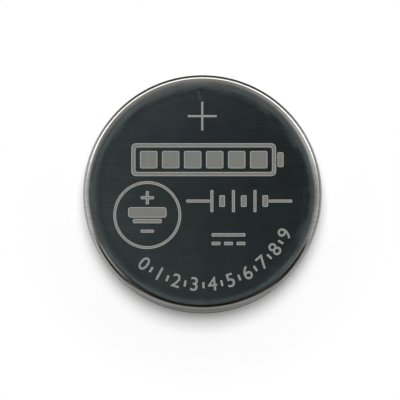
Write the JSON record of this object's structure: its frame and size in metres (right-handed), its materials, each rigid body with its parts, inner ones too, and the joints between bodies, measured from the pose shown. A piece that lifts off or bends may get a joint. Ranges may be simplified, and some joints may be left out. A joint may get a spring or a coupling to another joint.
{
  "type": "lithium coin cell",
  "caption": "Flat round lithium cell: a drawn steel can and a stepped cap crimped over a plastic gasket, with the active discs stacked inside.",
  "frame": {"origin": "centre of the negative contact face, at the cell's lowest point", "axes": "+Z through the cell to its positive face; +Y towards the plus sign's side of the marks, +X to their right"},
  "size_m": [0.02, 0.02, 0.0025],
  "materials": {
    "can_steel": "fine brushed nickel-plated steel, nearly mirror bright, with matte laser marks",
    "gasket_plastic": "natural translucent polypropylene",
    "cap_steel": "fine matte stamped steel",
    "lithium_metal": "soft rolled metal foil, dull",
    "separator_felt": "white nonwoven polypropylene",
    "cathode_powder": "pressed black powder",
    "collector_steel": "expanded stainless steel"
  },
  "bodies": {
    "root": {"positive_can": "can_steel", "gasket": "gasket_plastic", "negative_cap": "cap_steel", "lithium_anode": "lithium_metal", "separator": "separator_felt", "cathode_pellet": "cathode_powder", "collector_mesh": "collector_steel"}
  },
  "joints": []
}
